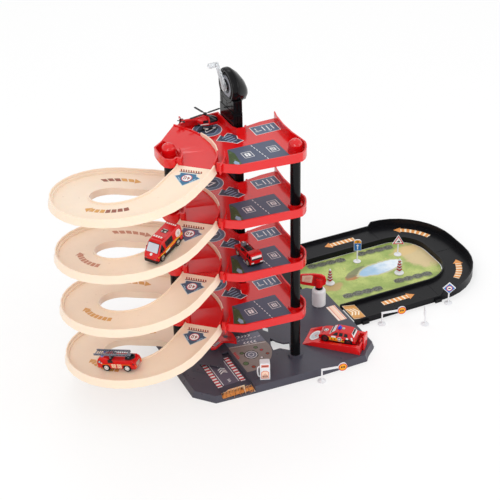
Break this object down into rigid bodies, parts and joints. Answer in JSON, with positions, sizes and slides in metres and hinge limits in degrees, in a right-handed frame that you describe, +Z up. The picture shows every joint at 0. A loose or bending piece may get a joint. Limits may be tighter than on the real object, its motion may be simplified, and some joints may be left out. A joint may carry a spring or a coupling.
{
  "type": "toy parking garage with lift",
  "caption": "Toy parking tower with stacked red decks, cream spiral ramps, a cranked car lift, a base with a car launcher, a road loop and small rescue vehicles.",
  "frame": {"origin": "the point of the table under the axis of the right pillar, in the middle of the socket boss under the base board", "axes": "+X to the right towards the road loop, +Y to the back, +Z up"},
  "size_m": [0.8323, 0.404, 0.5167],
  "materials": {
    "deck_red": "moulded, glossy",
    "ramp_cream": "moulded, satin, slightly translucent at the edges",
    "pillar_black": "moulded, glossy",
    "cap_red": "moulded, glossy",
    "drum_grey": "moulded",
    "crank_clear": "moulded, frosted and translucent",
    "board_slate": "moulded, satin",
    "track_black": "moulded, satin with glossy rims",
    "mat_print": "printed sheet",
    "white_plastic": "moulded with printed faces",
    "spring_steel": "plain wire",
    "vehicle_red": "moulded with printed trim",
    "vehicle_black": "moulded",
    "ladder_grey": "moulded"
  },
  "bodies": {
    "garage": {"base_board": "board_slate", "deck_1": "deck_red", "spiral_ramp_1": "ramp_cream", "guard_rail_1": "ramp_cream", "left_pillar_1": "pillar_black", "right_pillar_1": "pillar_black", "deck_2": "deck_red", "spiral_ramp_2": "ramp_cream", "guard_rail_2": "ramp_cream", "left_pillar_2": "pillar_black", "right_pillar_2": "pillar_black", "deck_3": "deck_red", "spiral_ramp_3": "ramp_cream", "guard_rail_3": "ramp_cream", "left_pillar_3": "pillar_black", "right_pillar_3": "pillar_black", "deck_4": "deck_red", "spiral_ramp_4": "ramp_cream", "guard_rail_4": "ramp_cream", "left_pillar_4": "pillar_black", "right_pillar_4": "pillar_black", "pillar_cap_left": "cap_red", "pillar_cap_right": "cap_red", "lift_tower": "pillar_black", "lift_head_left": "pillar_black", "lift_head_right": "pillar_black", "gate_post": "white_plastic", "launcher_base": "cap_red", "launcher_spring": "spring_steel", "fuel_pump": "white_plastic", "track_entry": "track_black", "track_straight_front": "track_black", "track_curve_front": "track_black", "track_curve_back": "track_black", "track_straight_back": "track_black", "track_curve_rear": "track_black", "play_mat": "mat_print", "info_sign": "white_plastic", "warning_sign": "white_plastic", "diamond_sign": "white_plastic", "small_sign": "white_plastic", "arm_sign_1": "white_plastic", "arm_sign_2": "white_plastic", "cone_1": "white_plastic", "cone_2": "white_plastic", "helicopter_body": "vehicle_red", "van_body": "vehicle_red", "fire_engine_body": "vehicle_red", "crane_truck": "vehicle_red", "race_car": "vehicle_red"},
    "lift": {"lift_platform": "cap_red"},
    "winder": {"lift_drum": "drum_grey", "crank": "crank_clear"},
    "road_gate": {"gate_arm": "cap_red"},
    "spanner": {"spanner_gate": "cap_red"},
    "launcher_slide": {"launcher_slider": "cap_red"},
    "rotor": {"helicopter_rotor": "vehicle_black"},
    "van_front_wheels": {"van_front_axle": "vehicle_black"},
    "van_rear_wheels": {"van_rear_axle": "vehicle_black"},
    "ladder": {"fire_engine_ladder": "ladder_grey"}
  },
  "joints": [
    {"name": "lift_travel", "type": "slide", "parent": "garage", "child": "lift", "axis": [0, 0, 1], "range_m": [0, 0.396]},
    {"name": "winder_turn", "type": "hinge", "parent": "garage", "child": "winder", "pos_m": [-0.0535, 0.127, 0.484], "axis": [1, 0, 0], "range_deg": [0, 1419]},
    {"name": "road_gate_swing", "type": "hinge", "parent": "garage", "child": "road_gate", "pos_m": [0.109, 0.12, 0.05], "axis": [0, 0, 1], "range_deg": [-60, 90]},
    {"name": "spanner_swing", "type": "hinge", "parent": "garage", "child": "spanner", "pos_m": [-0.092, 0.089, 0.02], "axis": [0, 0, 1], "range_deg": [-40, 60]},
    {"name": "launcher_pull", "type": "slide", "parent": "garage", "child": "launcher_slide", "axis": [0.7071, -0.7071, 0], "range_m": [0, 0.012], "stiffness_N_per_m": 120},
    {"name": "rotor_spin", "type": "hinge", "parent": "garage", "child": "rotor", "pos_m": [-0.09416, 0.1379, 0.4373], "axis": [0, 0, 1], "continuous": true},
    {"name": "van_front_roll", "type": "hinge", "parent": "garage", "child": "van_front_wheels", "pos_m": [-0.25419, -0.02631, 0.30423], "axis": [0.5446, -0.8387, 0], "continuous": true},
    {"name": "van_rear_roll", "type": "hinge", "parent": "garage", "child": "van_rear_wheels", "pos_m": [-0.21929, -0.00365, 0.30995], "axis": [0.5446, -0.8387, 0], "continuous": true},
    {"name": "ladder_raise", "type": "hinge", "parent": "garage", "child": "ladder", "pos_m": [-0.30167, -0.00233, 0.11259], "axis": [0.7071, 0.7071, 0], "range_deg": [0, 55]}
  ],
  "couplings": [
    {"joint": "winder_turn", "follows": "lift_travel", "rad_per_m": 62.5}
  ]
}
